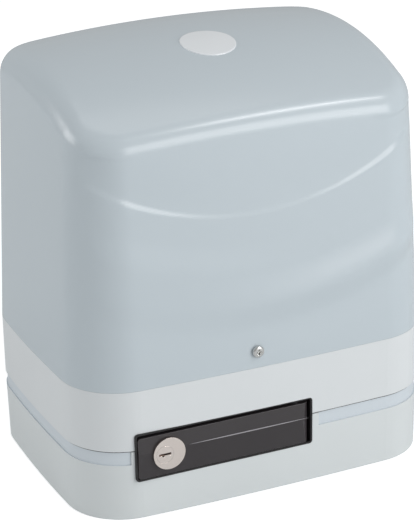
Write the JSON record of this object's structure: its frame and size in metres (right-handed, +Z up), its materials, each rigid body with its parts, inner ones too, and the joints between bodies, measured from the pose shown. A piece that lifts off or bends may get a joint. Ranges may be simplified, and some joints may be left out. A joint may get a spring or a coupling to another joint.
{
  "type": "sliding gate motor",
  "caption": "Sliding gate motor: cast base, domed lift-off cover, rear rack pinion and a locked release handle.",
  "frame": {"origin": "centre of the four anchor slots, on the underside of the base", "axes": "+Z up, +Y toward the gate (pinion side), -Y the side with the release handle"},
  "size_m": [0.28, 0.2441, 0.313],
  "materials": {
    "casting_paint": "satin",
    "bare_casting": "as cast",
    "gasket_rubber": "matte",
    "seal_rubber": "matte",
    "zinc_steel": "zinc plated",
    "bearing_steel": "ground",
    "ground_steel": "ground",
    "gear_steel": "machined",
    "stator_steel": "stacked sheet",
    "core_steel": "stacked sheet",
    "copper_winding": "lacquered",
    "tray_plastic": "moulded",
    "circuit_board": "solder mask",
    "terminal_green": "moulded",
    "relay_plastic": "moulded",
    "chip_plastic": "moulded",
    "radio_board": "solder mask",
    "fuse_glass": "clear",
    "coil_tape": "taped",
    "capacitor_can": "moulded",
    "black_plastic": "moulded",
    "handle_plastic": "fine grain",
    "cover_plastic": "satin gloss",
    "badge_plastic": "plain",
    "polished_steel": "polished",
    "wheel_bronze": "machined",
    "lock_chrome": "nickel plated",
    "lock_plug_chrome": "nickel plated",
    "spring_steel": "bright"
  },
  "bodies": {
    "base": {"base_casting": "casting_paint", "upper_casting": "casting_paint", "casing_gasket": "gasket_rubber", "casing_bolts": "zinc_steel", "levelling_screws": "zinc_steel", "rear_bearing_outer": "bearing_steel", "output_seal": "seal_rubber", "front_bearing_outer": "bearing_steel", "front_bearing_bracket": "bare_casting", "lower_bearing_outer": "bearing_steel", "upper_bearing_outer": "bearing_steel", "motor_windings": "copper_winding", "motor_stator": "stator_steel", "motor_lower_cup": "bare_casting", "motor_top_cup": "bare_casting", "motor_tie_bolts": "zinc_steel", "board_tray": "tray_plastic", "control_board": "circuit_board", "board_screws": "zinc_steel", "terminal_blocks_supply": "terminal_green", "terminal_blocks_motor": "terminal_green", "terminal_blocks_control": "terminal_green", "relays": "relay_plastic", "board_chips": "chip_plastic", "radio_module": "radio_board", "fuses": "fuse_glass", "transformer_core": "core_steel", "transformer_coil": "coil_tape", "motor_capacitor": "capacitor_can", "capacitor_clip": "zinc_steel", "cable_grommet": "gasket_rubber", "release_pocket": "black_plastic", "limit_switch_box": "black_plastic"},
    "cover": {"cover": "cover_plastic", "cover_badge": "badge_plastic", "cover_screw_front": "polished_steel", "cover_screw_rear": "polished_steel", "cover_nuts": "zinc_steel"},
    "output_drive": {"output_shaft": "ground_steel", "pinion": "gear_steel", "pinion_key": "ground_steel", "pinion_washer": "zinc_steel", "pinion_bolt": "zinc_steel", "rear_bearing_inner": "bearing_steel", "front_bearing_inner": "bearing_steel"},
    "worm_wheel": {"worm_wheel": "wheel_bronze"},
    "rotor": {"worm_shaft": "ground_steel", "rotor_core": "stator_steel", "lower_bearing_inner": "bearing_steel", "upper_bearing_inner": "bearing_steel"},
    "clutch_sleeve": {"clutch_sleeve": "ground_steel"},
    "release_fork": {"release_fork": "zinc_steel"},
    "release_handle": {"release_handle": "handle_plastic", "release_spindle": "ground_steel", "lock_housing": "lock_chrome"},
    "lock_plug": {"lock_plug": "lock_plug_chrome"},
    "limit_lever": {"limit_spindle": "black_plastic", "limit_lever": "spring_steel"}
  },
  "joints": [
    {"name": "cover_lift", "type": "slide", "parent": "base", "child": "cover", "axis": [0, 0, 1], "range_m": [0, 0.24]},
    {"name": "output_turn", "type": "hinge", "parent": "base", "child": "output_drive", "pos_m": [0, 0.09, 0.07], "axis": [0, 1, 0], "continuous": true},
    {"name": "wheel_turn", "type": "hinge", "parent": "base", "child": "worm_wheel", "pos_m": [0, 0.034, 0.07], "axis": [0, 1, 0], "continuous": true},
    {"name": "rotor_turn", "type": "hinge", "parent": "base", "child": "rotor", "pos_m": [0.032, 0.034, 0.07], "axis": [0, 0, 1], "continuous": true},
    {"name": "clutch_shift", "type": "slide", "parent": "output_drive", "child": "clutch_sleeve", "axis": [0, -1, 0], "range_m": [0, 0.008]},
    {"name": "fork_shift", "type": "slide", "parent": "base", "child": "release_fork", "axis": [0, -1, 0], "range_m": [0, 0.008]},
    {"name": "handle_open", "type": "hinge", "parent": "base", "child": "release_handle", "pos_m": [0.0245, -0.095, 0.0466], "axis": [0, 0, 1], "range_deg": [0, 90]},
    {"name": "lock_turn", "type": "hinge", "parent": "release_handle", "child": "lock_plug", "pos_m": [-0.0814, -0.1, 0.048], "axis": [0, -1, 0], "range_deg": [0, 90]},
    {"name": "limit_tilt", "type": "hinge", "parent": "base", "child": "limit_lever", "pos_m": [-0.032, 0.11, 0.142], "axis": [0, 1, 0], "range_deg": [-30, 30], "stiffness_Nm_per_rad": 0.1}
  ],
  "couplings": [
    {"joint": "wheel_turn", "follows": "output_turn", "ratio": 1},
    {"joint": "rotor_turn", "follows": "output_turn", "ratio": 30},
    {"joint": "clutch_shift", "follows": "handle_open", "m_per_rad": 0.0050904},
    {"joint": "fork_shift", "follows": "handle_open", "m_per_rad": 0.0050904}
  ]
}
